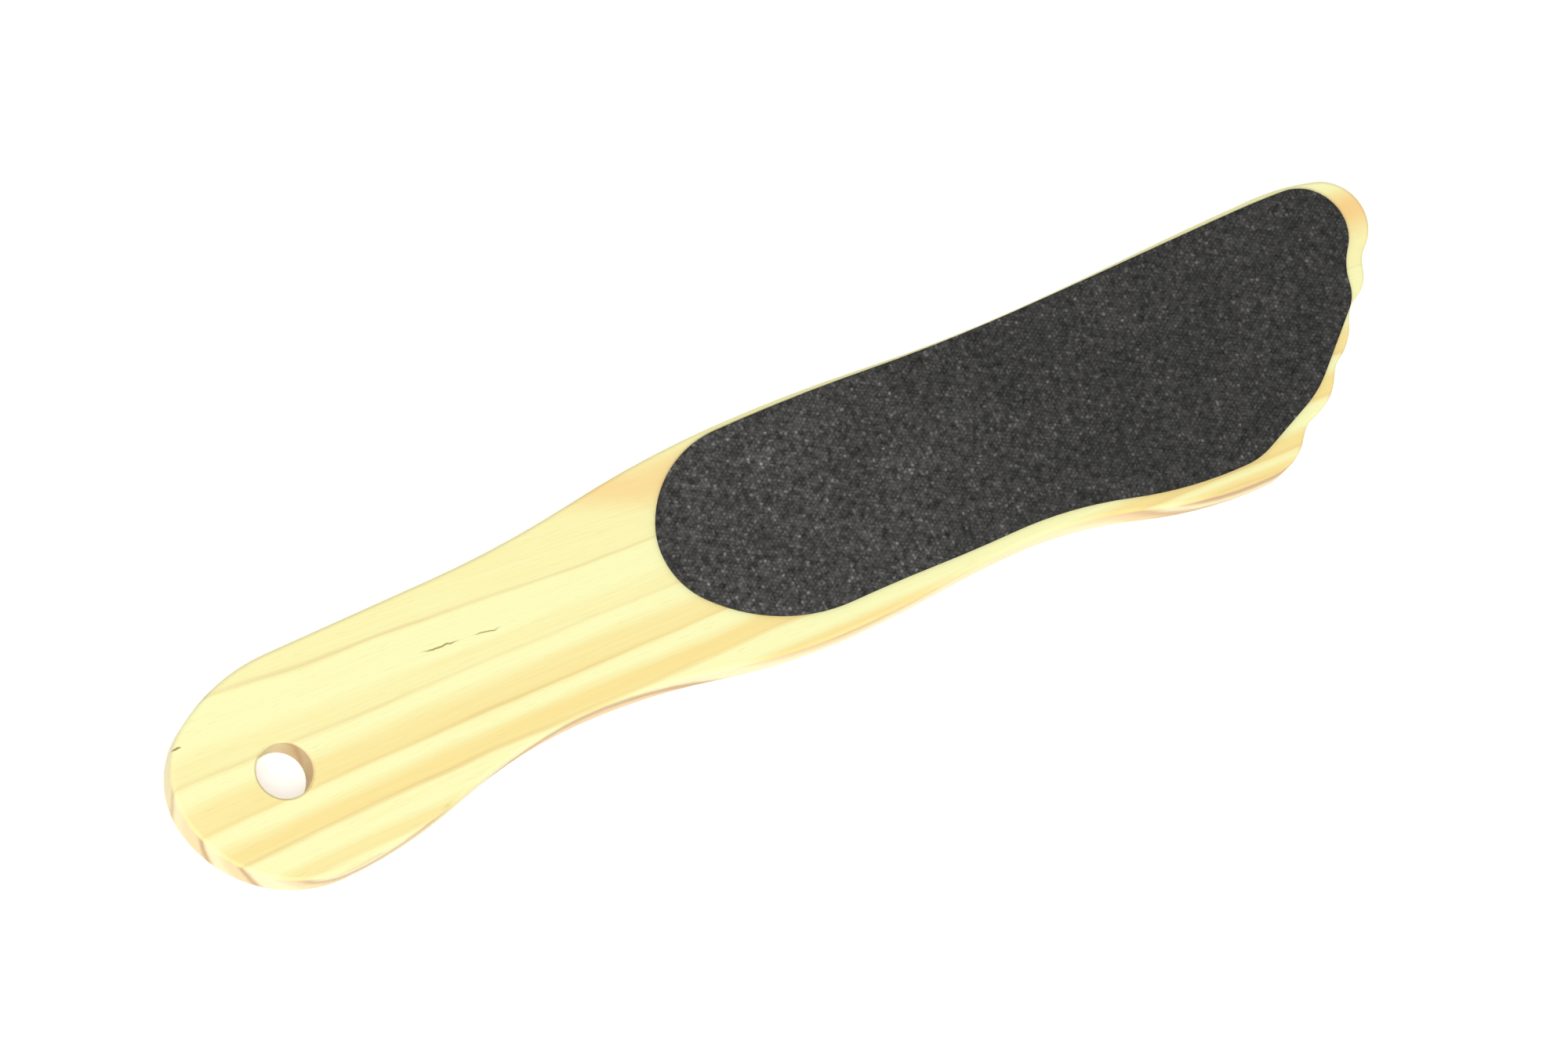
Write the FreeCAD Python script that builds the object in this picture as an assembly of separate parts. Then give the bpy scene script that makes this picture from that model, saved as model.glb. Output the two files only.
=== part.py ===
import FreeCAD, Part
import math
import os

# A wooden foot file: a foot-shaped paddle with an abrasive sheet bonded to each face.
# All sizes are in millimetres. X runs from the butt of the handle to the toes, Y points to
# the big-toe side and Z points out of the coarse face. The fine face rests on Z = 0, and the
# origin lies under the middle of the length.
# A size named from_butt is measured along X from the butt of the handle, one named setback is
# measured back from the front of the big toe, and one named big_side or little_side is measured
# from the centre line towards that side.

# Wooden paddle as a whole
overall_length = 250.0
wood_thickness = 7.0
edge_round = 0.8

# Handle
butt_radius = 16.0
butt_big_side = 1.6
grip_big_from_butt = 26.4
grip_big_side = 20.7
grip_straight = 32.5
grip_little_from_butt = 22.3
grip_little_side = 19.7
neck_from_butt = 72.5
neck_little_side = 12.4

# Hanging hole
hole_diameter = 10.0
hole_from_butt = 20.0
hole_big_side = 0.7
hole_bevel = 0.4

# Head, big-toe side
heel_setback = 131.6
heel_big_side = 25.0
waist_setback = 69.5
waist_big_side = 21.9
knuckle_setback = 18.9
knuckle_big_side = 22.6

# Head, little-toe side, where the heel lies further forward
heel_skew = 8.3
heel_little_side = 18.5
arch_setback = 90.2
arch_little_side = 17.2
ball_little_side = 25.0

# Toes: their tips lie on a curved toe line, from the front of the big toe to the outside of the
# little toe. Each middle toe has its place on that line, from 0 to 1, its radius and how far its
# tip reaches past the line.
big_toe_big_side = 12.8
big_toe_radius = 8.3
toe_line_setback = 7.6
toe_line_little_side = 9.5
little_toe_setback = 40.5
little_toe_radius = 10.9
middle_toes = [(0.73, 12.0, 0.5), (0.54, 11.8, -0.6), (0.29, 6.6, -0.3)]
toe_notch_radius = 6.5

# Cut outline of the abrasive sheets, as margins from the sides of the paddle: at the waist they
# lap over the rounded edge
sheet_heel_length = 19.4
sheet_heel_big_side = 6.6
sheet_heel_radius = 14.3
sheet_heel_big_margin = 1.0
sheet_waist_lap = 0.4
sheet_heel_margin = 4.7
sheet_arch_margin = 2.6
sheet_ball_margin = 3.9
sheet_ball_setback = 44.4
sheet_ball_radius = 14.1
sheet_toe_margin = 2.2
sheet_front_margin = 4.8
sheet_big_toe_radius = 8.6
sheet_knuckle_margin = 0.9
sheet_middle_lobes = [(0.71, 23.0), (0.4, 7.2)]
sheet_notch_radius = 12.3

# Layers of the abrasive sheets
adhesive_thickness = 0.1
adhesive_inset = 0.3
backing_thickness = 0.3
coarse_grit_thickness = 0.4
fine_grit_thickness = 0.2

# Heights of the two faces of the wood
wood_bottom = fine_grit_thickness + backing_thickness + adhesive_thickness
wood_top = wood_bottom + wood_thickness


def at(from_butt, side):
    """A point of the plan, from its place along the tool and its side."""
    return FreeCAD.Vector(from_butt - overall_length / 2, side, 0)


def from_front(setback, side):
    """A point of the plan, from its setback from the front and its side."""
    return at(overall_length - setback, side)


def across(distance):
    """A step across the tool, towards the big-toe side."""
    return FreeCAD.Vector(0, distance, 0)


def arc_about(centre, start, end):
    """The shorter arc about a centre, between two points of its circle."""
    middle = (start + end) * 0.5 - centre
    middle.normalize()
    return Part.Arc(start, centre + middle * (start - centre).Length, end).toShape()


def reverse_curve(start, end):
    """Two equal arcs that join two places where the side runs along X."""
    rise = end.y - start.y
    if rise == 0:
        return [Part.makeLine(start, end)]
    radius = ((end.x - start.x) ** 2 + rise**2) / (4 * rise)
    middle = (start + end) * 0.5
    first = arc_about(start + across(radius), start, middle)
    second = arc_about(end - across(radius), middle, end)
    return [first, second]


def shoulder(corner, circle):
    """The arc that leaves a corner along X and runs into a circle, and where it meets it."""
    centre, radius = circle
    run = centre.x - corner.x
    height = abs(corner.y - centre.y)
    bend = (run**2 + height**2 - radius**2) / (2 * (height - radius))
    inwards = math.copysign(bend, centre.y - corner.y)
    bend_centre = corner + across(inwards)
    outward = centre - bend_centre
    outward.normalize()
    touch = centre + outward * radius
    return touch, arc_about(bend_centre, corner, touch)


def rounded_end(big_corner, circle, little_corner):
    """A rounded end, from the big-toe side round its circle to the little-toe side."""
    big_touch, big_arc = shoulder(big_corner, circle)
    little_touch, little_arc = shoulder(little_corner, circle)
    return [big_arc, arc_about(circle[0], big_touch, little_touch), little_arc]


def toe_line(place):
    """A point of the toe line and the way out from it."""
    front = from_front(0, big_toe_big_side)
    bend = from_front(toe_line_setback, -toe_line_little_side)
    outside = from_front(little_toe_setback, -ball_little_side)
    point = front * (1 - place) ** 2 + bend * 2 * place * (1 - place) + outside * place**2
    along = (bend - front) * (1 - place) + (outside - bend) * place
    out = FreeCAD.Vector(-along.y, along.x, 0)
    return point, out.normalize()


def lobe(place, radius, margin):
    """The circle of a lobe whose tip keeps a margin inside the toe line."""
    tip, out = toe_line(place)
    return tip - out * (radius + margin), radius


def outward_of(unit):
    """The outer side of a unit vector that runs from a lobe to the next one."""
    return FreeCAD.Vector(unit.y, -unit.x, 0)


def notch(first, second, radius):
    """The hollow arc that touches two neighbouring lobes from outside."""
    centre_a, radius_a = first
    centre_b, radius_b = second
    unit = centre_b - centre_a
    spacing = unit.Length
    unit.normalize()
    reach_a = radius_a + radius
    reach_b = radius_b + radius
    along = (spacing**2 + reach_a**2 - reach_b**2) / (2 * spacing)
    centre = centre_a + unit * along + outward_of(unit) * math.sqrt(reach_a**2 - along**2)
    start = centre_a + (centre - centre_a) * (radius_a / reach_a)
    end = centre_b + (centre - centre_b) * (radius_b / reach_b)
    return start, arc_about(centre, start, end), end


def brow(first, second):
    """The straight edge that touches two lobes from outside."""
    centre_a, radius_a = first
    centre_b, radius_b = second
    unit = centre_b - centre_a
    lean = (radius_a - radius_b) / unit.Length
    unit.normalize()
    normal = unit * lean + outward_of(unit) * math.sqrt(1 - lean**2)
    start = centre_a + normal * radius_a
    end = centre_b + normal * radius_b
    return start, Part.makeLine(start, end), end


def toe_run(circles, joins, start, end):
    """The toe end: an arc on each lobe, and the join between each lobe and the next."""
    edges = []
    here = start
    for (centre, radius), (leave, join, arrive) in zip(circles, joins):
        edges.append(arc_about(centre, here, leave))
        edges.append(join)
        here = arrive
    edges.append(arc_about(circles[-1][0], here, end))
    return edges


def paddle_face():
    """The plan of the wooden paddle, from the grip round the butt and the toes."""
    butt = at(butt_radius, butt_big_side), butt_radius
    grip_big = at(grip_big_from_butt, grip_big_side)
    grip_end = at(grip_big_from_butt + grip_straight, grip_big_side)
    grip_little = at(grip_little_from_butt, -grip_little_side)
    neck = at(neck_from_butt, -neck_little_side)
    heel_little = from_front(heel_setback - heel_skew, -heel_little_side)
    arch = from_front(arch_setback, -arch_little_side)
    ball = from_front(little_toe_setback, -ball_little_side)
    knuckle = from_front(knuckle_setback, knuckle_big_side)
    waist = from_front(waist_setback, waist_big_side)
    heel_big = from_front(heel_setback, heel_big_side)
    circles = [(ball + across(little_toe_radius), little_toe_radius)]
    circles += [lobe(place, radius, -reach) for place, radius, reach in middle_toes]
    circles.append((from_front(big_toe_radius, big_toe_big_side), big_toe_radius))
    joins = [notch(a, b, toe_notch_radius) for a, b in zip(circles, circles[1:])]
    big_touch, big_arc = shoulder(knuckle, circles[-1])
    edges = rounded_end(grip_big, butt, grip_little)
    edges += reverse_curve(grip_little, neck)
    edges += reverse_curve(neck, heel_little)
    edges += reverse_curve(heel_little, arch)
    edges += reverse_curve(arch, ball)
    edges += toe_run(circles, joins, ball, big_touch)
    edges.append(big_arc)
    edges += reverse_curve(knuckle, waist)
    edges += reverse_curve(waist, heel_big)
    edges += reverse_curve(heel_big, grip_end)
    edges.append(Part.makeLine(grip_end, grip_big))
    return Part.Face(Part.Wire(edges))


def sheet_face(inset):
    """The plan of an abrasive sheet, with margins from the paddle, drawn in by an inset."""
    heel_radius = sheet_heel_radius - inset
    ball_radius = sheet_ball_radius - inset
    big_radius = sheet_big_toe_radius - inset
    heel_big_side_line = heel_big_side - sheet_heel_big_margin - inset
    heel_little_side_line = heel_little_side - sheet_heel_margin - inset
    arch_side_line = arch_little_side - sheet_arch_margin - inset
    ball_side_line = ball_little_side - sheet_ball_margin - inset
    waist_side_line = waist_big_side - edge_round + sheet_waist_lap - inset
    knuckle_side_line = knuckle_big_side - sheet_knuckle_margin - inset
    heel_tip_setback = heel_setback + sheet_heel_length
    heel = from_front(heel_tip_setback - sheet_heel_radius, sheet_heel_big_side), heel_radius
    heel_big = from_front(heel_setback, heel_big_side_line)
    heel_little = from_front(heel_setback - heel_skew, -heel_little_side_line)
    arch = from_front(arch_setback, -arch_side_line)
    ball = from_front(sheet_ball_setback, -ball_side_line)
    knuckle = from_front(knuckle_setback + sheet_front_margin, knuckle_side_line)
    waist = from_front(waist_setback, waist_side_line)
    big_toe = from_front(sheet_front_margin + sheet_big_toe_radius, big_toe_big_side)
    circles = [(ball + across(ball_radius), ball_radius)]
    for place, radius in sheet_middle_lobes:
        circles.append(lobe(place, radius - inset, sheet_toe_margin + inset))
    circles.append((big_toe, big_radius))
    joins = [brow(a, b) for a, b in zip(circles[:-2], circles[1:])]
    joins.append(notch(circles[-2], circles[-1], sheet_notch_radius + inset))
    big_touch, big_arc = shoulder(knuckle, circles[-1])
    edges = rounded_end(heel_big, heel, heel_little)
    edges += reverse_curve(heel_little, arch)
    edges += reverse_curve(arch, ball)
    edges += toe_run(circles, joins, ball, big_touch)
    edges.append(big_arc)
    edges += reverse_curve(knuckle, waist)
    edges += reverse_curve(waist, heel_big)
    return Part.Face(Part.Wire(edges))


def layer(face, bottom, thickness):
    """A flat layer with the plan of a face."""
    solid = face.extrude(FreeCAD.Vector(0, 0, thickness))
    solid.translate(FreeCAD.Vector(0, 0, bottom))
    return solid


def level_edges(solid):
    """The edges that lie flat, round the top and the bottom."""
    return [edge for edge in solid.Edges if edge.BoundBox.ZLength < 0.001]


def is_hole_rim(edge):
    """Whether an edge is a full circle, as only the rims of the hanging hole are."""
    return isinstance(edge.Curve, Part.Circle) and edge.isClosed()


def wooden_paddle():
    """The paddle with its rounded-over edges and its hanging hole."""
    blank = layer(paddle_face(), wood_bottom, wood_thickness)
    rounded = blank.makeFillet(edge_round, level_edges(blank))
    hole_foot = at(hole_from_butt, hole_big_side) + FreeCAD.Vector(0, 0, wood_bottom)
    drill = Part.makeCylinder(hole_diameter / 2, wood_thickness, hole_foot)
    drilled = rounded.cut(drill)
    rims = [edge for edge in level_edges(drilled) if is_hole_rim(edge)]
    return drilled.makeChamfer(hole_bevel, rims)


def coarse_stack(sheet, film):
    """The layers on the upper face, from the wood outwards."""
    backing_bottom = wood_top + adhesive_thickness
    grit_bottom = backing_bottom + backing_thickness
    return {
        "coarse_adhesive_film": layer(film, wood_top, adhesive_thickness),
        "coarse_backing_sheet": layer(sheet, backing_bottom, backing_thickness),
        "coarse_grit_coat": layer(sheet, grit_bottom, coarse_grit_thickness),
    }


def fine_stack(sheet, film):
    """The layers on the lower face, from the wood outwards."""
    film_bottom = wood_bottom - adhesive_thickness
    backing_bottom = film_bottom - backing_thickness
    return {
        "fine_adhesive_film": layer(film, film_bottom, adhesive_thickness),
        "fine_backing_sheet": layer(sheet, backing_bottom, backing_thickness),
        "fine_grit_coat": layer(sheet, 0, fine_grit_thickness),
    }


sheet = sheet_face(0)
film = sheet_face(adhesive_inset)
nodes = {"wooden_paddle": wooden_paddle()}
nodes.update(coarse_stack(sheet, film))
nodes.update(fine_stack(sheet, film))

os.makedirs("parts", exist_ok=True)
for name, shape in nodes.items():
    shape.exportStep("parts/" + name + ".step")
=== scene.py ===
import math
from collections import namedtuple

import bpy
import numpy as np
from mathutils import Matrix, Vector
from mathutils.geometry import delaunay_2d_cdt


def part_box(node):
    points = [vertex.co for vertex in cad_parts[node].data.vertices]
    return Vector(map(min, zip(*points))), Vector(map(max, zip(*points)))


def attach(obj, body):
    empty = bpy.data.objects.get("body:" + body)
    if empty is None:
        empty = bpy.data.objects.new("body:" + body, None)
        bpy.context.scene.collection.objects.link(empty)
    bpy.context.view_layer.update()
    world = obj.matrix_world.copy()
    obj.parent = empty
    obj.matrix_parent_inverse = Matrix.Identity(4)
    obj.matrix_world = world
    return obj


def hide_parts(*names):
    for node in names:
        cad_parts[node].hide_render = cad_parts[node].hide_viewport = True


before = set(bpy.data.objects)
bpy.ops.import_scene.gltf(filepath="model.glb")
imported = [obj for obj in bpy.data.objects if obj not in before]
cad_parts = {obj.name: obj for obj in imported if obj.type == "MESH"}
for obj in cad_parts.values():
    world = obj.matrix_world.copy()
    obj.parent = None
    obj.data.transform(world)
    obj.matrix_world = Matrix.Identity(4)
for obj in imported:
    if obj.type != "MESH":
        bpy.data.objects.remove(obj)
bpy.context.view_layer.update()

# A wooden foot file with a coarse and a fine abrasive sheet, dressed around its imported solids.
# X runs from the butt of the handle to the toes, Y points to the big-toe side and Z points out of
# the coarse face. Lengths are in metres for the camera, the light, the grit surfaces and the bumps,
# and in millimetres for everything else in the materials. A pattern or a scale is how many cells a
# noise has per millimetre. A step is where a soft change starts and where it is complete.

# Camera: where it stands, what it looks at, its roll and its focal length on a 36 mm sensor
camera_place = Vector((-0.548, -0.23867, 1.4209))
camera_aim = Vector((-0.00148, 0.00473, 0.0041))
camera_roll = math.radians(24.42)
camera_lens = 200.9
sensor_width = 36.0

# Light: an even pale sky, one large soft lamp and a white floor that glows a little
sky_strength = 0.6
lamp_place = Vector((-2.2, -1.8, 3.4))
lamp_size = 3.0
lamp_power = 112.0
floor_side = 6.0
floor_colour = (0.9, 0.9, 0.9, 1.0)
floor_lift = 0.5

# Growth rings of the board, in millimetres across the grain at the grip. Each ring is the place and
# the strength of a dark line, the depth of colour beside the line and at the end of its deep band,
# the width of that band and the width over which it pales.
Ring = namedtuple("Ring", "line strength start end band fade")
growth_rings = [
    Ring(-28.0, 0.9, 0.7, 0.6, 1.2, 1.0),
    Ring(-23.4, 0.9, 0.75, 0.5, 0.8, 0.8),
    Ring(-20.7, 0.9, 0.75, 0.5, 0.8, 0.8),
    Ring(-18.1, 0.6, 0.7, 0.8, 1.2, 1.7),
    Ring(-11.6, 0.85, 0.9, 0.95, 2.3, 2.2),
    Ring(-4.7, 0.85, 0.85, 0.65, 3.6, 2.4),
    Ring(3.6, 0.45, 0.35, 0.3, 3.2, 1.4),
    Ring(14.8, 0.8, 0.25, 0.4, 9.0, 26.0),
]
ring_low = -34.0
ring_high = 52.0
ring_edge = 0.9
ring_line_width = 0.45
wall_line_width = 1.15
# The rings fan out towards the big-toe side, bend along the board, deepen in colour towards the
# little toe and lean through the thickness
fan_side = -17.0
fan_reach = 32.0
fan_place = -75.0
fan_slope = 0.085
grain_bend = 0.0001
ring_deepening = 0.00017
ring_lean = -0.5
wood_face = 7.6
# Waves of the rings: a slow and a quick pattern, and how far each shifts them
slow_pattern, slow_wave = (0.014, 0.05, 0.05), 1.6
quick_pattern, quick_wave = (0.06, 0.45, 0.45), 0.45

# The deep-coloured wood near the pith, a band with its middle, core and reach across the grain. It
# shifts to each side of a place along the board, and grows wider and stronger towards the toes.
heart_middle, heart_core, heart_reach = 27.3, 0.5, 8.2
heart_place = -24.0
heart_shift_to_butt = 0.4
heart_shift_to_toes = -0.038
heart_strength, toe_heart_strength = 0.74, 1.0
toe_heart_growth = 1.5
toe_place = 105.0

# Broad and fine fibres, with how far each changes the depth of colour, and dark pores
broad_pattern, broad_depth = (0.02, 0.35, 0.35), 0.2
fibre_pattern, fibre_depth = (0.05, 2.6, 2.6), 0.25
pore_pattern, pore_step, pore_share = (0.22, 5.0, 5.0), (0.64, 0.74), 0.22
# The lines of the rings are worn on the faces, where the broad fibres are pale
worn_step, line_least, line_most = (0.3, 0.65), 0.15, 0.75
wall_line_share = 0.9

# Walls of the board: the upward share of a surface's direction from face to wall, the lengthways
# share from long grain to end grain, and how far each takes its own colour
wall_step, wall_share = (0.85, 0.2), 0.7
end_step, end_share = (0.2, 0.95), 0.25
# Layers of late wood in the wall on the big-toe side, which starts between two places along Y
far_wall_step = (12.0, 20.0)
layer_pattern, layer_step, layer_share = (0.012, 0.3, 0.75), (0.46, 0.62), 0.5

# Hanging hole: its middle and radius, the reach of its bevel, and how far its end grain is
# darkened, partly as drilled wood and partly as painted shade in the hole
hole_x, hole_y, hole_radius = -105.0, 0.7, 5.0
hole_bevel = 0.3
drilled_and_painted_shade_share = 0.42

# Resin streaks in the grip: their middle, half length, half width and turn from the X axis
Streak = namedtuple("Streak", "x y half_length half_width turn")
resin_streaks = [
    Streak(-69.8, 9.2, 5.0, 0.16, -0.11),
    Streak(-61.0, 8.25, 3.6, 0.12, -0.11),
    Streak(-120.5, 11.85, 1.3, 0.2, 0.1),
]
# Their waves, the share of their length that is full, their soft edge, and the depths under the
# face at which they end and are full
streak_wave, streak_wave_scale = 0.8, 0.35
streak_full_share = 0.3
streak_edge_step = (-0.1, 0.15)
streak_end_depth, streak_full_depth = 2.0, 1.0

# Colours of the wood, and the roughness of early and late wood
early_wood = (0.985, 0.97, 0.51, 1.0)
late_wood = (0.965, 0.775, 0.31, 1.0)
heart_wood = (0.965, 0.665, 0.27, 1.0)
ring_line = (0.74, 0.53, 0.23, 1.0)
side_line = (0.48, 0.25, 0.12, 1.0)
side_early = (0.97, 0.9, 0.6, 1.0)
side_late = (0.88, 0.62, 0.36, 1.0)
end_grain = (0.92, 0.7, 0.38, 1.0)
# Drilled end grain, darker partly as drilled wood and partly as painted shade in the hole
drilled_wood_and_painted_shade = (0.5, 0.24, 0.1, 1.0)
resin_dark = (0.36, 0.22, 0.08, 1.0)
early_roughness, late_roughness = 0.62, 0.48
wood_shine = 0.3
ring_relief = 0.6
wood_bump = 0.00004

# Backing paper and adhesive film: their patterns, colours, roughness and bump
paper_pattern, paper_step = (3.0, 3.0, 14.0), (0.35, 0.75)
paper_dark = (0.05, 0.047, 0.043, 1.0)
paper_pale = (0.12, 0.11, 0.1, 1.0)
paper_roughness = (0.75, 0.95)
paper_shine = 0.2
paper_bump = 0.00005
clot_scale = 1.3
film_dark = (0.5, 0.4, 0.2, 1.0)
film_pale = (0.75, 0.65, 0.42, 1.0)
film_roughness = (0.3, 0.55)
film_bump = 0.00003

# Colours of the grit with its painted glint, and from where to where a point counts as a plain
# grain
coarse_resin = (0.0225, 0.022, 0.021, 1.0)
coarse_grain = (0.0515, 0.05, 0.0475, 1.0)
coarse_painted_glint = (0.26, 0.25, 0.24, 1.0)
fine_resin = (0.031, 0.03, 0.0285, 1.0)
fine_grain = (0.067, 0.065, 0.062, 1.0)
fine_painted_glint = (0.225, 0.22, 0.21, 1.0)
grain_start, grain_end = 0.75, 0.86
# Uneven shade of the grit: the scale of its clouds, clumps and specks, and the shades of each
cloud_scale, cloud_shade = 0.09, (0.6, 1.4)
clump_scale, clump_shade = 1.04, (-0.15, 2.15)
speck_scale, speck_shade = 2.4, (0.2, 1.8)
# Painted light: the grit is painted paler at the heel than at the toes, as if lit more there: its
# painted shade at both, and where along the tool the change starts and ends
painted_heel_light, painted_toe_shade = 1.4, 0.79
painted_light_start, painted_light_end = -32.0, 76.0
# Painted glints: their scale on each coat, their soft edge, how rare the bright ones are and their
# share
coarse_painted_glint_scale, fine_painted_glint_scale = 1.15, 2.2
painted_glint_step = (0.55, 0.1)
painted_glint_rarity = 5.0
painted_glint_share = 0.42
resin_roughness, grain_roughness = 0.6, 0.3
grit_shine = 0.25
grit_bump = 0.00003

# Grit surfaces: the spacing of their points, how high the grains stand on the resin, how deep that
# is, and the seed of their chance
coarse_spacing = 0.00044
coarse_grain_height = 0.00027
coarse_resin_depth = 0.00012
coarse_seed = 7
fine_spacing = 0.00027
fine_grain_height = 0.00012
fine_resin_depth = 0.00007
fine_seed = 11
# Points lie on a grid of triangles. The gap between its rows, how far a point is moved at random
# and the margin kept from the rim are shares of the spacing. One point in three is a grain's tip.
row_spacing = math.sqrt(0.75)
grain_jitter = 0.3
rim_margin = 0.6
points_per_tip = 3
# Heights of the points, as shares of the grain height. A few tips are worn flat.
flat_tip_chance, flat_tip_height = 0.1, 0.3
tip_height_least = 0.5
foot_height_most = 0.4
rim_height_most = 0.3
# How much of a grain the points are: the least and the range of a tip, the most of a foot, the
# least of a tip with a painted glint and the draw above which a tip gets one
tip_tone_least, tip_tone_range = 0.4, 0.4
foot_tone_most = 0.3
painted_glint_tone_least = 0.88
painted_glint_draw = 0.96
# A face counts as flat above this upward share, and points nearer than this are one
flat_share = 0.9
weld_distance = 1e-9
# Rows of the grit pieces' map for baking, as shares of its height, and the edge left round it
grain_row, flat_row, rim_row, rim_row_width = 0.7, 0.4, 0.1, 0.2
map_edge = 0.02


# Camera, light and floor


def add_object(name, data):
    """A new object in the scene."""
    item = bpy.data.objects.new(name, data)
    bpy.context.scene.collection.objects.link(item)
    return item


def facing(place, aim, roll):
    """A matrix that stands at a place and looks at an aim, level with X and then rolled."""
    forward = (aim - place).normalized()
    level = (Vector((1, 0, 0)) - forward * forward.x).normalized()
    upright = level.cross(forward)
    right = level * math.cos(roll) - upright * math.sin(roll)
    up = level * math.sin(roll) + upright * math.cos(roll)
    turn = Matrix((right, up, -forward)).transposed()
    return Matrix.Translation(place) @ turn.to_4x4()


def add_camera():
    """The camera, at the photograph's viewing angle."""
    lens = bpy.data.cameras.new("camera")
    lens.sensor_fit = "HORIZONTAL"
    lens.sensor_width = sensor_width
    lens.lens = camera_lens
    camera = add_object("camera", lens)
    camera.matrix_world = facing(camera_place, camera_aim, camera_roll)
    bpy.context.scene.camera = camera


def add_lamp():
    """One large soft lamp, on the camera's side so that the walls in view are lit."""
    light = bpy.data.lights.new("soft_lamp", "AREA")
    light.shape = "DISK"
    light.size = lamp_size
    light.energy = lamp_power
    lamp = add_object("soft_lamp", light)
    lamp.matrix_world = facing(lamp_place, Vector((0, 0, 0)), 0)


def seen_directly(tree):
    """A value that is 1 for what the camera, a reflection or a clear material shows, else 0."""
    path = tree.nodes.new("ShaderNodeLightPath")
    seen = calculate(tree, "MAXIMUM", path.outputs["Is Camera Ray"], path.outputs["Is Glossy Ray"])
    return calculate(tree, "MAXIMUM", seen, path.outputs["Is Transmission Ray"])


def add_sky():
    """An even sky that lights softly and shows white."""
    world = bpy.data.worlds.new("sky")
    world.use_nodes = True
    bpy.context.scene.world = world
    tree = world.node_tree
    background = tree.nodes["Background"]
    background.inputs["Color"].default_value = (1, 1, 1, 1)
    lift = calculate(tree, "MULTIPLY_ADD", seen_directly(tree), 1 - sky_strength, sky_strength)
    tree.links.new(lift, background.inputs["Strength"])


def add_floor():
    """A white floor that keeps the shadow of the tool."""
    half = floor_side / 2
    mesh = bpy.data.meshes.new("floor")
    corners = [(-half, -half, 0), (half, -half, 0), (half, half, 0), (-half, half, 0)]
    mesh.from_pydata(corners, [], [(0, 1, 2, 3)])
    material, tree, shader = blank_material("floor_white")
    shader.inputs["Base Color"].default_value = floor_colour
    shader.inputs["Roughness"].default_value = 1.0
    shader.inputs["Specular IOR Level"].default_value = 0.0
    shader.inputs["Emission Color"].default_value = (1, 1, 1, 1)
    lift = calculate(tree, "MULTIPLY", seen_directly(tree), floor_lift)
    tree.links.new(lift, shader.inputs["Emission Strength"])
    mesh.materials.append(material)
    add_object("floor", mesh)


# Short calls for the nodes of a material


def blank_material(name):
    """A new material, its node tree and its shader."""
    material = bpy.data.materials.new(name)
    material.use_nodes = True
    tree = material.node_tree
    return material, tree, tree.nodes["Principled BSDF"]


def feed(tree, socket, value):
    """Joins a socket to another one, or sets its value."""
    if isinstance(value, bpy.types.NodeSocket):
        tree.links.new(value, socket)
    else:
        socket.default_value = value


def calculate(tree, operation, *values, clamp=False):
    """The result of an operation on values or sockets."""
    node = tree.nodes.new("ShaderNodeMath")
    node.operation = operation
    node.use_clamp = clamp
    for socket, value in zip(node.inputs, values):
        feed(tree, socket, value)
    return node.outputs[0]


def combine(tree, x, y, z):
    """A vector from three values or sockets."""
    node = tree.nodes.new("ShaderNodeCombineXYZ")
    for socket, value in zip(node.inputs, (x, y, z)):
        feed(tree, socket, value)
    return node.outputs[0]


def lengths(tree, vector):
    """The X, Y and Z of a vector."""
    node = tree.nodes.new("ShaderNodeSeparateXYZ")
    tree.links.new(vector, node.inputs[0])
    return node.outputs[0], node.outputs[1], node.outputs[2]


def stretch(tree, vector, factors):
    """A vector with each of its lengths multiplied."""
    node = tree.nodes.new("ShaderNodeVectorMath")
    node.operation = "MULTIPLY"
    feed(tree, node.inputs[0], vector)
    node.inputs[1].default_value = factors
    return node.outputs[0]


def noise(tree, vector, scale=1.0, detail=2.0):
    """Soft random values from 0 to 1, about 0.5 in the mean."""
    node = tree.nodes.new("ShaderNodeTexNoise")
    feed(tree, node.inputs["Vector"], vector)
    node.inputs["Scale"].default_value = scale
    node.inputs["Detail"].default_value = detail
    return node.outputs["Fac"]


def ease(tree, value, low, high):
    """A soft step from 0 at low to 1 at high."""
    node = tree.nodes.new("ShaderNodeMapRange")
    node.interpolation_type = "SMOOTHSTEP"
    feed(tree, node.inputs["Value"], value)
    node.inputs["From Min"].default_value = low
    node.inputs["From Max"].default_value = high
    return node.outputs["Result"]


def spread(tree, value, low, high):
    """A value from 0 to 1 spread between two limits."""
    node = tree.nodes.new("ShaderNodeMapRange")
    feed(tree, node.inputs["Value"], value)
    node.inputs["To Min"].default_value = low
    node.inputs["To Max"].default_value = high
    return node.outputs["Result"]


def blend(tree, factor, first, second):
    """A colour between two colours."""
    node = tree.nodes.new("ShaderNodeMix")
    node.data_type = "RGBA"
    feed(tree, node.inputs["Factor"], factor)
    feed(tree, node.inputs[6], first)
    feed(tree, node.inputs[7], second)
    return node.outputs[2]


def ramp(tree, factor, stops):
    """A value or colour that runs through stops, each a place from 0 to 1 and a colour."""
    node = tree.nodes.new("ShaderNodeValToRGB")
    feed(tree, node.inputs["Fac"], factor)
    elements = node.color_ramp.elements
    while len(elements) < len(stops):
        elements.new(0.5)
    for element, (place, colour) in zip(elements, stops):
        element.position = place
        element.color = colour
    return node.outputs["Color"]


def grey(value):
    """A grey colour."""
    return (value, value, value, 1.0)


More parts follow.
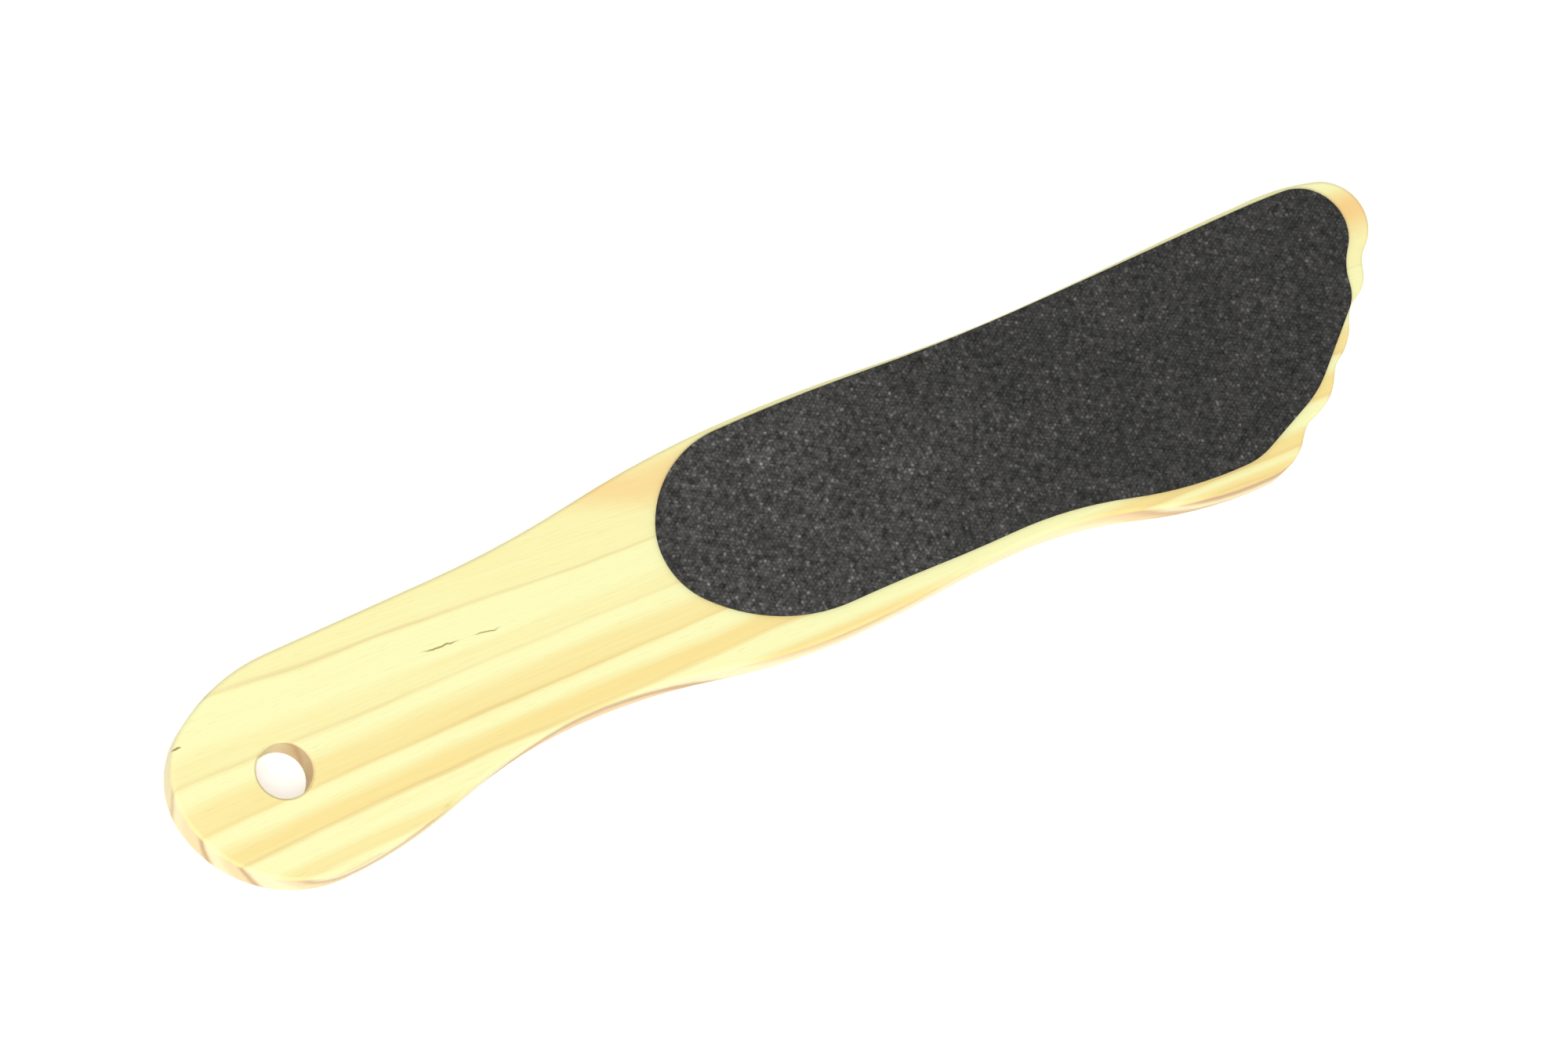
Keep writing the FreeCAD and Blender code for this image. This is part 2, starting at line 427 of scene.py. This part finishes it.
def relief(tree, shader, height, depth):
    """Bump from a height, on a shader."""
    node = tree.nodes.new("ShaderNodeBump")
    node.inputs["Strength"].default_value = 1.0
    node.inputs["Distance"].default_value = depth
    feed(tree, node.inputs["Height"], height)
    tree.links.new(node.outputs["Normal"], shader.inputs["Normal"])


def millimetres(tree):
    """The place on the tool in millimetres."""
    place = tree.nodes.new("ShaderNodeTexCoord").outputs["Object"]
    return stretch(tree, place, (1000, 1000, 1000))


# Pine


def ring_stop(across, colour):
    """A stop of a ramp, from its place across the grain in millimetres."""
    return (across - ring_low) / (ring_high - ring_low), colour


def across_grain(tree, place, x, y, z):
    """How far a point lies across the grain, with its lean, fan, bend and waves."""
    lean = calculate(tree, "MULTIPLY_ADD", z, ring_lean, -wood_face * ring_lean)
    side = calculate(tree, "ADD", y, lean)
    along = calculate(tree, "SUBTRACT", x, fan_place)
    opening = calculate(tree, "MULTIPLY_ADD", side, 1 / fan_reach, -fan_side / fan_reach)
    opening = calculate(tree, "MULTIPLY", calculate(tree, "MULTIPLY", opening, opening), fan_slope)
    slope = calculate(tree, "MULTIPLY_ADD", along, grain_bend, opening)
    fanned = calculate(tree, "MULTIPLY_ADD", along, slope, side)
    slow = noise(tree, stretch(tree, place, slow_pattern))
    quick = noise(tree, stretch(tree, place, quick_pattern))
    slow = spread(tree, slow, -slow_wave, slow_wave)
    quick = spread(tree, quick, -quick_wave, quick_wave)
    return calculate(tree, "ADD", fanned, calculate(tree, "ADD", slow, quick))


def ring_depth(tree, share):
    """The depth of colour across the rings."""
    stops = []
    for ring in growth_rings:
        band_end = ring.line + ring.band
        stops.append(ring_stop(ring.line - ring_edge, grey(0)))
        stops.append(ring_stop(ring.line, grey(ring.start)))
        stops.append(ring_stop(band_end, grey(ring.end)))
        stops.append(ring_stop(band_end + ring.fade, grey(0)))
    return ramp(tree, share, stops)


def ring_lines(tree, share, width):
    """The dark lines where the rings end."""
    stops = []
    for ring in growth_rings:
        stops.append(ring_stop(ring.line - width, grey(0)))
        stops.append(ring_stop(ring.line, grey(ring.strength)))
        stops.append(ring_stop(ring.line + width, grey(0)))
    return ramp(tree, share, stops)


def deepening(tree, x, y):
    """How much deeper the rings are coloured here than at the grip."""
    along = calculate(tree, "SUBTRACT", x, fan_place)
    area = calculate(tree, "MULTIPLY", along, y)
    return calculate(tree, "MULTIPLY_ADD", area, -ring_deepening, 1.0)


def heart_band(tree, across, x):
    """How far the wood has the deep colour near the pith."""
    ahead = calculate(tree, "SUBTRACT", x, heart_place)
    to_butt = calculate(tree, "MINIMUM", ahead, 0.0)
    to_toes = calculate(tree, "MAXIMUM", ahead, 0.0)
    across = calculate(tree, "MULTIPLY_ADD", to_butt, heart_shift_to_butt, across)
    across = calculate(tree, "MULTIPLY_ADD", to_toes, heart_shift_to_toes, across)
    toe_share = ease(tree, x, heart_place, toe_place)
    away = calculate(tree, "ABSOLUTE", calculate(tree, "SUBTRACT", across, heart_middle))
    away = calculate(tree, "DIVIDE", away, spread(tree, toe_share, 1.0, toe_heart_growth))
    band = ease(tree, away, heart_reach, heart_core)
    strength = spread(tree, toe_share, heart_strength, toe_heart_strength)
    return calculate(tree, "MULTIPLY", band, strength)


def wall_shares(tree):
    """How far a surface is a wall of the board, and how far it is cut across the grain."""
    normal = tree.nodes.new("ShaderNodeNewGeometry").outputs["Normal"]
    parts = lengths(tree, normal)
    wall = ease(tree, calculate(tree, "ABSOLUTE", parts[2]), *wall_step)
    end = ease(tree, calculate(tree, "ABSOLUTE", parts[0]), *end_step)
    return wall, end


def far_wall_layers(tree, place, y, wall):
    """How far the wall on the big-toe side shows a layer of late wood."""
    far_wall = calculate(tree, "MULTIPLY", wall, ease(tree, y, *far_wall_step))
    layers = noise(tree, stretch(tree, place, layer_pattern))
    layers = calculate(tree, "MULTIPLY", ease(tree, layers, *layer_step), layer_share)
    return calculate(tree, "MULTIPLY", far_wall, layers)


def in_hole(tree, x, y):
    """1 on the wall of the drilled hole and 0 away from it."""
    aside = calculate(tree, "SUBTRACT", x, hole_x)
    upright = calculate(tree, "SUBTRACT", y, hole_y)
    squares = calculate(tree, "MULTIPLY", upright, upright)
    squares = calculate(tree, "MULTIPLY_ADD", aside, aside, squares)
    return ease(tree, calculate(tree, "SQRT", squares), hole_radius + hole_bevel, hole_radius)


def streak(tree, x, y, z, mark):
    """A short wavy dark streak in the upper face, thinning to its ends."""
    cosine, sine = math.cos(mark.turn), math.sin(mark.turn)
    along = calculate(tree, "MULTIPLY_ADD", x, cosine, -mark.x * cosine - mark.y * sine)
    along = calculate(tree, "MULTIPLY_ADD", y, sine, along)
    aside = calculate(tree, "MULTIPLY_ADD", x, -sine, mark.x * sine - mark.y * cosine)
    aside = calculate(tree, "MULTIPLY_ADD", y, cosine, aside)
    wave = noise(tree, combine(tree, along, mark.x, 0.0), scale=streak_wave_scale)
    aside = calculate(tree, "ADD", aside, spread(tree, wave, -streak_wave, streak_wave))
    reach = calculate(tree, "ABSOLUTE", along)
    taper = ease(tree, reach, mark.half_length, mark.half_length * streak_full_share)
    width = calculate(tree, "MULTIPLY", taper, mark.half_width)
    gap = calculate(tree, "SUBTRACT", width, calculate(tree, "ABSOLUTE", aside))
    dark = ease(tree, gap, *streak_edge_step)
    upper = ease(tree, z, wood_face - streak_end_depth, wood_face - streak_full_depth)
    return calculate(tree, "MULTIPLY", calculate(tree, "MULTIPLY", dark, taper), upper)


def pine():
    """Pale sanded pine with wide growth rings, fibres, resin streaks, darker end grain and painted
    shade in the hole.
    """
    material, tree, shader = blank_material("pale_pine")
    place = millimetres(tree)
    x, y, z = lengths(tree, place)
    across = across_grain(tree, place, x, y, z)
    ring_range = ring_high - ring_low
    share = calculate(tree, "MULTIPLY_ADD", across, 1 / ring_range, -ring_low / ring_range)
    fibre_place = combine(tree, x, across, z)
    broad = noise(tree, stretch(tree, fibre_place, broad_pattern), detail=3.0)
    fibre = noise(tree, stretch(tree, fibre_place, fibre_pattern), detail=3.0)
    pore = noise(tree, stretch(tree, fibre_place, pore_pattern), detail=1.0)
    wall, end = wall_shares(tree)

    depth = calculate(tree, "MULTIPLY", ring_depth(tree, share), deepening(tree, x, y))
    depth = calculate(tree, "ADD", depth, spread(tree, broad, -broad_depth, broad_depth))
    fibre_change = spread(tree, fibre, -fibre_depth, fibre_depth)
    depth = calculate(tree, "ADD", depth, fibre_change, clamp=True)
    colour = blend(tree, depth, early_wood, late_wood)
    colour = blend(tree, heart_band(tree, across, x), colour, heart_wood)
    side_wood = blend(tree, depth, side_early, side_late)
    colour = blend(tree, calculate(tree, "MULTIPLY", wall, wall_share), colour, side_wood)
    colour = blend(tree, far_wall_layers(tree, place, y, wall), colour, side_late)
    colour = blend(tree, calculate(tree, "MULTIPLY", end, end_share), colour, end_grain)

    worn = spread(tree, ease(tree, broad, *worn_step), line_least, line_most)
    lines = calculate(tree, "MULTIPLY", ring_lines(tree, share, ring_line_width), worn)
    colour = blend(tree, lines, colour, ring_line)
    lines = calculate(tree, "MULTIPLY", ring_lines(tree, share, wall_line_width), wall)
    colour = blend(tree, calculate(tree, "MULTIPLY", lines, wall_line_share), colour, side_line)
    dashes = calculate(tree, "MULTIPLY", ease(tree, pore, *pore_step), pore_share)
    colour = blend(tree, dashes, colour, ring_line)

    # The end grain in the hanging hole is darkened, partly as drilled wood and partly as painted
    # shade.
    darkening = spread(tree, end, 0.0, drilled_and_painted_shade_share)
    drilled = calculate(tree, "MULTIPLY", in_hole(tree, x, y), darkening)
    colour = blend(tree, drilled, colour, drilled_wood_and_painted_shade)
    for mark in resin_streaks:
        colour = blend(tree, streak(tree, x, y, z, mark), colour, resin_dark)

    tree.links.new(colour, shader.inputs["Base Color"])
    roughness = spread(tree, depth, early_roughness, late_roughness)
    tree.links.new(roughness, shader.inputs["Roughness"])
    shader.inputs["Specular IOR Level"].default_value = wood_shine
    relief(tree, shader, calculate(tree, "MULTIPLY_ADD", depth, ring_relief, fibre), wood_bump)
    return material


# Backing paper, adhesive film and grit


def backing_paper():
    """Dark waterproof paper, with pale fibres where it is cut."""
    material, tree, shader = blank_material("backing_paper")
    fibres = noise(tree, stretch(tree, millimetres(tree), paper_pattern), detail=4.0)
    colour = blend(tree, ease(tree, fibres, *paper_step), paper_dark, paper_pale)
    tree.links.new(colour, shader.inputs["Base Color"])
    tree.links.new(spread(tree, fibres, *paper_roughness), shader.inputs["Roughness"])
    shader.inputs["Specular IOR Level"].default_value = paper_shine
    relief(tree, shader, fibres, paper_bump)
    return material


def adhesive():
    """A thin film of dry amber adhesive."""
    material, tree, shader = blank_material("adhesive_film")
    clots = noise(tree, millimetres(tree), scale=clot_scale, detail=3.0)
    tree.links.new(blend(tree, clots, film_dark, film_pale), shader.inputs["Base Color"])
    tree.links.new(spread(tree, clots, *film_roughness), shader.inputs["Roughness"])
    relief(tree, shader, clots, film_bump)
    return material


def glints(tree, place, scale):
    """Scattered round specks, few of them bright: painted glints, as of grains that catch the
    light.
    """
    cells = tree.nodes.new("ShaderNodeTexVoronoi")
    cells.voronoi_dimensions = "2D"
    cells.inputs["Scale"].default_value = scale
    tree.links.new(place, cells.inputs["Vector"])
    chance = lengths(tree, cells.outputs["Color"])[0]
    speck = ease(tree, cells.outputs["Distance"], *painted_glint_step)
    return calculate(tree, "MULTIPLY", speck, calculate(tree, "POWER", chance, painted_glint_rarity))


def grit_tone_and_painted_light(tree, place, speck):
    """How light the grit is: clouds, clumps, specks, and painted light that pales it at the heel.
    """
    cloud = spread(tree, noise(tree, place, cloud_scale, detail=3.0), *cloud_shade)
    clump = spread(tree, noise(tree, place, clump_scale, detail=0.0), *clump_shade)
    shade = calculate(tree, "MULTIPLY", cloud, clump)
    shade = calculate(tree, "MULTIPLY", shade, spread(tree, speck, *speck_shade))
    # Painted light: the grit is painted paler towards the heel, as if lit more there.
    along = ease(tree, lengths(tree, place)[0], painted_light_start, painted_light_end)
    return calculate(tree, "MULTIPLY", shade, spread(tree, along, painted_heel_light, painted_toe_shade))


def grit(name, resin_colour, grain_colour, painted_glint_colour, painted_glint_scale):
    """Grains in dark resin, with painted glints. The mesh holds how much of a grain each point is,
    0 to 1.
    """
    material, tree, shader = blank_material(name)
    place = millimetres(tree)
    held = tree.nodes.new("ShaderNodeAttribute")
    held.attribute_name = "grain"
    grain = held.outputs["Fac"]
    plain = [(grain_start, grain_colour), (grain_end, grain_colour)]
    colour = ramp(tree, grain, [(0.0, resin_colour)] + plain + [(1.0, painted_glint_colour)])
    # Painted glints: bright specks painted into the colour of the grit.
    glint = calculate(tree, "MULTIPLY", glints(tree, place, painted_glint_scale), painted_glint_share)
    colour = blend(tree, glint, colour, painted_glint_colour)
    speck = noise(tree, place, speck_scale)
    shaded = tree.nodes.new("ShaderNodeVectorMath")
    shaded.operation = "SCALE"
    tree.links.new(colour, shaded.inputs[0])
    tree.links.new(grit_tone_and_painted_light(tree, place, speck), shaded.inputs["Scale"])
    tree.links.new(shaded.outputs[0], shader.inputs["Base Color"])
    roughness = spread(tree, grain, resin_roughness, grain_roughness)
    tree.links.new(roughness, shader.inputs["Roughness"])
    shader.inputs["Specular IOR Level"].default_value = grit_shine
    relief(tree, shader, speck, grit_bump)
    return material


# Grit surfaces


def outer_loop(node, upwards):
    """The outline of a node's upper or lower flat face, as points of the plan in order."""
    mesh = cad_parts[node].data
    uses = {}
    for face in mesh.polygons:
        if face.normal.z * upwards > flat_share:
            for edge in face.edge_keys:
                uses[edge] = uses.get(edge, 0) + 1
    beside = {}
    for (first, second), count in uses.items():
        if count == 1:
            beside.setdefault(first, []).append(second)
            beside.setdefault(second, []).append(first)
    start = min(beside)
    loop = [start, beside[start][0]]
    while loop[-1] != start:
        ways = beside[loop[-1]]
        loop.append(ways[1] if ways[0] == loop[-2] else ways[0])
    return np.array([mesh.vertices[index].co[:2] for index in loop[:-1]])


def even_loop(loop, spacing):
    """Points at even steps round a loop."""
    closed = np.vstack([loop, loop[:1]])
    sides = np.hypot(*np.diff(closed, axis=0).T)
    travelled = np.concatenate([[0], np.cumsum(sides)])
    count = int(travelled[-1] / spacing)
    steps = np.arange(count) * travelled[-1] / count
    return np.stack([np.interp(steps, travelled, closed[:, axis]) for axis in (0, 1)], axis=1)


def inside_by(points, loop, margin):
    """Which points lie inside a loop, further than a margin from it."""
    inside = np.zeros(len(points), bool)
    nearest = np.full(len(points), np.inf)
    for start, end in zip(loop, np.roll(loop, -1, axis=0)):
        step = end - start
        crosses = (points[:, 1] < start[1]) != (points[:, 1] < end[1])
        if step[1] != 0:
            meets = start[0] + (points[:, 1] - start[1]) / step[1] * step[0]
            inside ^= crosses & (points[:, 0] < meets)
        share = np.clip((points - start) @ step / max(step @ step, weld_distance**2), 0, 1)
        away = points - start - share[:, None] * step
        nearest = np.minimum(nearest, np.hypot(*away.T))
    return inside & (nearest > margin)


def grain_points(loop, spacing, random):
    """Jittered points inside a loop, and which of them are the tips of grains."""
    low, high = loop.min(axis=0), loop.max(axis=0)
    rows = int((high[1] - low[1]) / (spacing * row_spacing)) + 1
    columns = int((high[0] - low[0]) / spacing) + rows + 1
    column, row = np.meshgrid(np.arange(-rows, columns), np.arange(rows))
    column, row = column.ravel(), row.ravel()
    places = np.stack([column + row / 2, row * row_spacing], axis=1) * spacing + low
    near = (places[:, 0] > low[0]) & (places[:, 0] < high[0])
    places, tips = places[near], ((column - row) % points_per_tip == 0)[near]
    places = places + random.uniform(-grain_jitter, grain_jitter, places.shape) * spacing
    kept = inside_by(places, loop, spacing * rim_margin)
    return places[kept], tips[kept]


def grain_relief(tips, rim, random):
    """How high each point stands and how much of a grain it is, the points of the rim first."""
    draw = random.random((4, len(tips)))
    full_height = tip_height_least + (1 - tip_height_least) * draw[1]
    tip_height = np.where(draw[0] < flat_tip_chance, flat_tip_height, full_height)
    foot_height = foot_height_most * draw[1] ** 2
    rim_height = rim_height_most * random.random(rim)
    stand = np.concatenate([rim_height, np.where(tips, tip_height, foot_height)])
    tip_tone = tip_tone_least + tip_tone_range * draw[2]
    tone = np.where(tips, tip_tone, foot_tone_most * draw[2])
    # A few tips get a painted glint: their tone runs into the glint colour.
    bright = tips & (draw[3] > painted_glint_draw)
    tone[bright] = painted_glint_tone_least + (1 - painted_glint_tone_least) * draw[2][bright]
    return stand, np.concatenate([np.zeros(rim), tone])


def lay_flat(mesh, grain_corners, rim):
    """Lays the grains, the rim and the flat side out one above another in the map for baking."""
    corners = np.empty(len(mesh.loops), int)
    mesh.loops.foreach_get("vertex_index", corners)
    plan = np.array([vertex.co[:2] for vertex in mesh.vertices])
    plan = (plan - plan.min(axis=0)) / np.ptp(plan[:, 0])
    flat = plan[corners]
    flat[:grain_corners] += (0, grain_row)
    flat[-rim:] += (0, flat_row)
    along = np.repeat(np.arange(rim), 4) + np.tile([0, 1, 1, 0], rim)
    across = rim_row + rim_row_width * np.tile([0, 0, 1, 1], rim)
    flat[grain_corners:-rim] = np.stack([along / rim, across], axis=1)
    layer = mesh.uv_layers.new(name="OFBake")
    layer.data.foreach_set("uv", (map_edge + flat * (1 - 2 * map_edge)).ravel())


def coat_mesh(name, found, rim, heights, base, grain):
    """A closed mesh of the found triangles, with a wall round the rim and a flat side."""
    source = [ids[0] for ids in found[3]]
    top = [(place.x, place.y, heights[index]) for place, index in zip(found[0], source)]
    first = {index: i for i, index in reversed(list(enumerate(source)))}
    upper = [first[i] for i in range(rim)]
    lower = [len(top) + i for i in range(rim)]
    verts = top + [(top[i][0], top[i][1], base) for i in upper]
    faces = [list(face) for face in found[2]]
    grain_corners = sum(len(face) for face in faces)
    for i in range(rim):
        after = (i + 1) % rim
        faces.append([lower[i], lower[after], upper[after], upper[i]])
    faces.append(lower[::-1])
    mesh = bpy.data.meshes.new(name)
    mesh.from_pydata(verts, [], faces)
    tones = [grain[index] for index in source] + [0.0] * rim
    mesh.attributes.new("grain", "FLOAT", "POINT").data.foreach_set("value", tones)
    lay_flat(mesh, grain_corners, rim)
    return mesh


def grit_surface(name, node, upwards, spacing, grain_height, resin_depth, seed):
    """A closed coat of grains standing in resin, on the outline of a grit node."""
    random = np.random.default_rng(seed)
    outline = outer_loop(node, upwards)
    loop = even_loop(outline, spacing)
    places, tips = grain_points(outline, spacing, random)
    rim = len(loop)
    plan = [Vector(point) for point in np.vstack([loop, places])]
    found = delaunay_2d_cdt(plan, [], [list(range(rim))], 1, weld_distance)
    stand, grain = grain_relief(tips, rim, random)
    low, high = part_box(node)
    base = low.z if upwards > 0 else high.z
    heights = base + upwards * (resin_depth + grain_height * stand)
    mesh = coat_mesh(name, found, rim, heights, base, grain)
    if upwards < 0:
        mesh.flip_normals()
    piece = add_object(name, mesh)
    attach(piece, "root")
    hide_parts(node)
    return piece


def dress(item, material):
    """Gives an object one material."""
    item.data.materials.clear()
    item.data.materials.append(material)


bpy.context.scene.view_settings.view_transform = "Standard"
add_camera()
add_lamp()
add_sky()
add_floor()

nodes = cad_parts
dress(nodes["wooden_paddle"], pine())
paper = backing_paper()
film = adhesive()
for side in ("coarse", "fine"):
    dress(nodes[side + "_backing_sheet"], paper)
    dress(nodes[side + "_adhesive_film"], film)

coarse = grit_surface("coarse_grit_surface", "coarse_grit_coat", 1, coarse_spacing,
                      coarse_grain_height, coarse_resin_depth, coarse_seed)
dress(coarse, grit("coarse_grit", coarse_resin, coarse_grain, coarse_painted_glint, coarse_painted_glint_scale))
fine = grit_surface("fine_grit_surface", "fine_grit_coat", -1, fine_spacing,
                    fine_grain_height, fine_resin_depth, fine_seed)
dress(fine, grit("fine_grit", fine_resin, fine_grain, fine_painted_glint, fine_painted_glint_scale))
